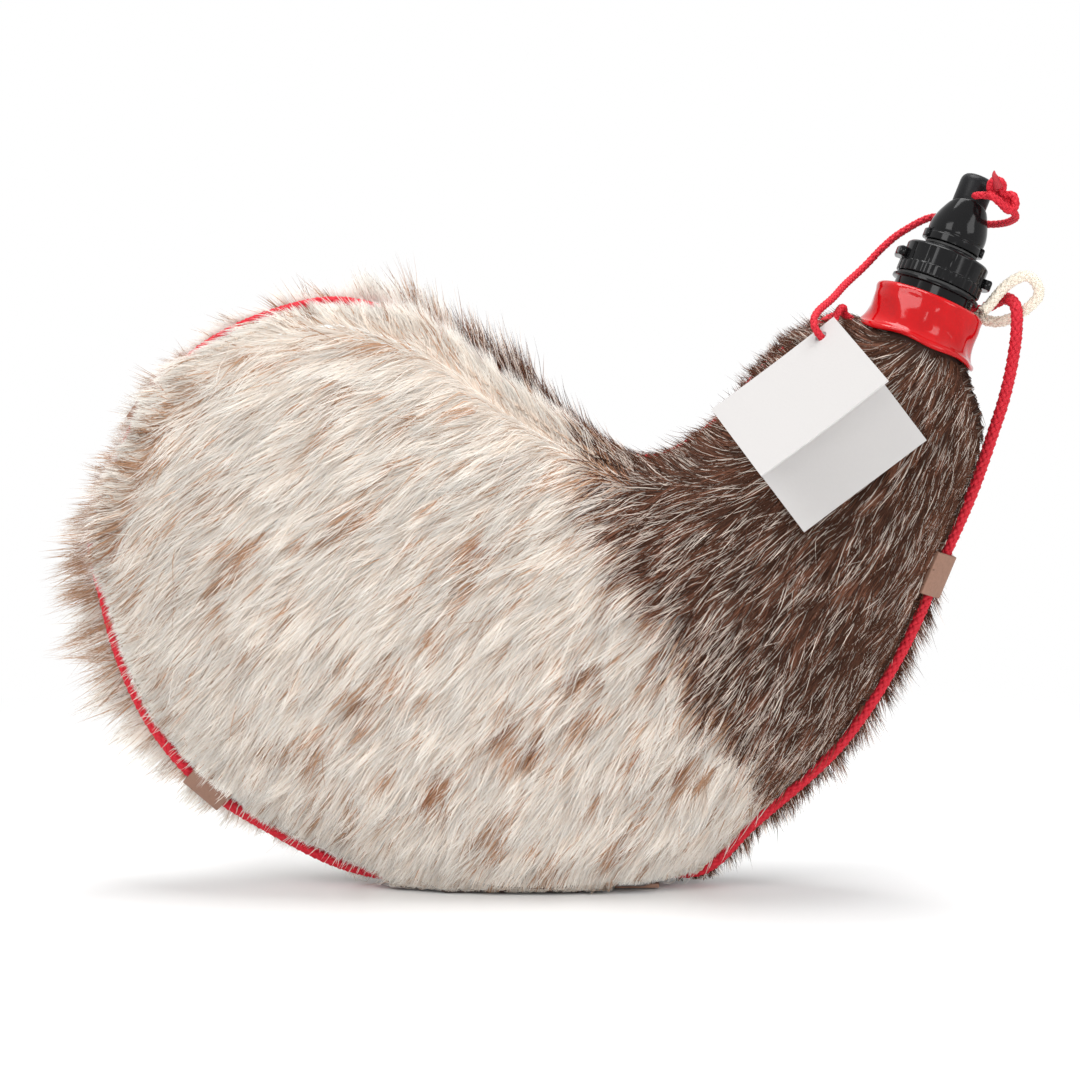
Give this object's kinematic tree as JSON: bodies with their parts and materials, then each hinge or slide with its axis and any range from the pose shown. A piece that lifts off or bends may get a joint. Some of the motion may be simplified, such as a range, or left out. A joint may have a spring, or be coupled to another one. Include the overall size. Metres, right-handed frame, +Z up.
{
  "type": "leather bota bag",
  "caption": "Kidney-shaped hair-on hide wine bag with a screw-off black spout, push-in stopper, red carrying cord round the seam and a folded card tag.",
  "frame": {"origin": "on the surface it stands on, in the seam plane, halfway along the bag's length", "axes": "+Z up, +X along the bag towards the spout, +Y from the front panel to the back panel"},
  "size_m": [0.3306, 0.1032, 0.2473],
  "materials": {
    "hide_front": "goat hair left on, cream with tan and dark brown patches",
    "hide_back": "goat hair left on",
    "seam_welt": "cotton braid",
    "bladder": "soft latex liner",
    "neck_lashing": "wound twine",
    "neck_collar": "glossy red coated leather",
    "spout_base": "black bakelite",
    "cap_washer": "pale seal",
    "filler_ring": "black bakelite",
    "nozzle_washer": "pale seal",
    "nozzle": "black bakelite",
    "stopper": "satin black",
    "tether_knot": "red cotton cord",
    "tether_loop": "red cotton cord",
    "tether_cord": "red cotton cord",
    "carry_cord": "thick red braided cord",
    "carry_knot": "thick red braided cord",
    "neck_loop": "cream cotton braid",
    "tab_right": "bare tan leather",
    "tab_bottom": "bare tan leather",
    "tab_lower_left": "bare tan leather",
    "tab_upper_left": "bare tan leather",
    "tag_back": "coated card",
    "tag_front": "coated card"
  },
  "bodies": {
    "bag": {"hide_front": "hide_front", "hide_back": "hide_back", "seam_welt": "seam_welt", "bladder": "bladder", "neck_lashing": "neck_lashing", "neck_collar": "neck_collar", "spout_base": "spout_base", "tether_cord": "tether_cord", "carry_cord": "carry_cord", "carry_knot": "carry_knot", "neck_loop": "neck_loop", "tab_right": "tab_right", "tab_bottom": "tab_bottom", "tab_lower_left": "tab_lower_left", "tab_upper_left": "tab_upper_left"},
    "cap_seal": {"cap_washer": "cap_washer"},
    "big_ring": {"filler_ring": "filler_ring"},
    "nozzle_seal": {"nozzle_washer": "nozzle_washer"},
    "nozzle": {"nozzle": "nozzle"},
    "stopper": {"stopper": "stopper", "tether_knot": "tether_knot", "tether_loop": "tether_loop"},
    "tag_back": {"tag_back": "tag_back"},
    "tag_front": {"tag_front": "tag_front"}
  },
  "joints": [
    {"name": "cap_rise", "type": "slide", "parent": "bag", "child": "cap_seal", "axis": [0.3758, 0.1392, 0.9162], "range_m": [0, 0.0096], "deforming": ["tether_cord"]},
    {"name": "cap_turn", "type": "hinge", "parent": "cap_seal", "child": "big_ring", "pos_m": [0.1255, 0, 0.1876], "axis": [0.3758, 0.1392, 0.9162], "range_deg": [0, 1080]},
    {"name": "nozzle_rise", "type": "slide", "parent": "cap_seal", "child": "nozzle_seal", "axis": [0.3758, 0.1392, 0.9162], "range_m": [0, 0.0063], "deforming": ["tether_cord"]},
    {"name": "nozzle_turn", "type": "hinge", "parent": "nozzle_seal", "child": "nozzle", "pos_m": [0.1255, 0, 0.1876], "axis": [0.3758, 0.1392, 0.9162], "range_deg": [0, 1080]},
    {"name": "stopper_pull", "type": "slide", "parent": "nozzle_seal", "child": "stopper", "axis": [0.3758, 0.1392, 0.9162], "range_m": [0, 0.02], "deforming": ["tether_cord"]},
    {"name": "tag_swing", "type": "hinge", "parent": "bag", "child": "tag_back", "pos_m": [0.09376, -0.02672, 0.19044], "axis": [-0.0632, -0.9945, 0.0833], "range_deg": [-25, 25], "deforming": ["tether_cord"]},
    {"name": "tag_fold", "type": "hinge", "parent": "tag_back", "child": "tag_front", "pos_m": [0.07621, -0.0262, 0.18336], "axis": [-0.7965, 0, -0.6046], "range_deg": [-53, 118], "deforming": ["tether_cord"]}
  ],
  "couplings": [
    {"joint": "cap_turn", "follows": "cap_rise", "rad_per_m": 1963.5},
    {"joint": "nozzle_turn", "follows": "nozzle_rise", "rad_per_m": 2992}
  ]
}
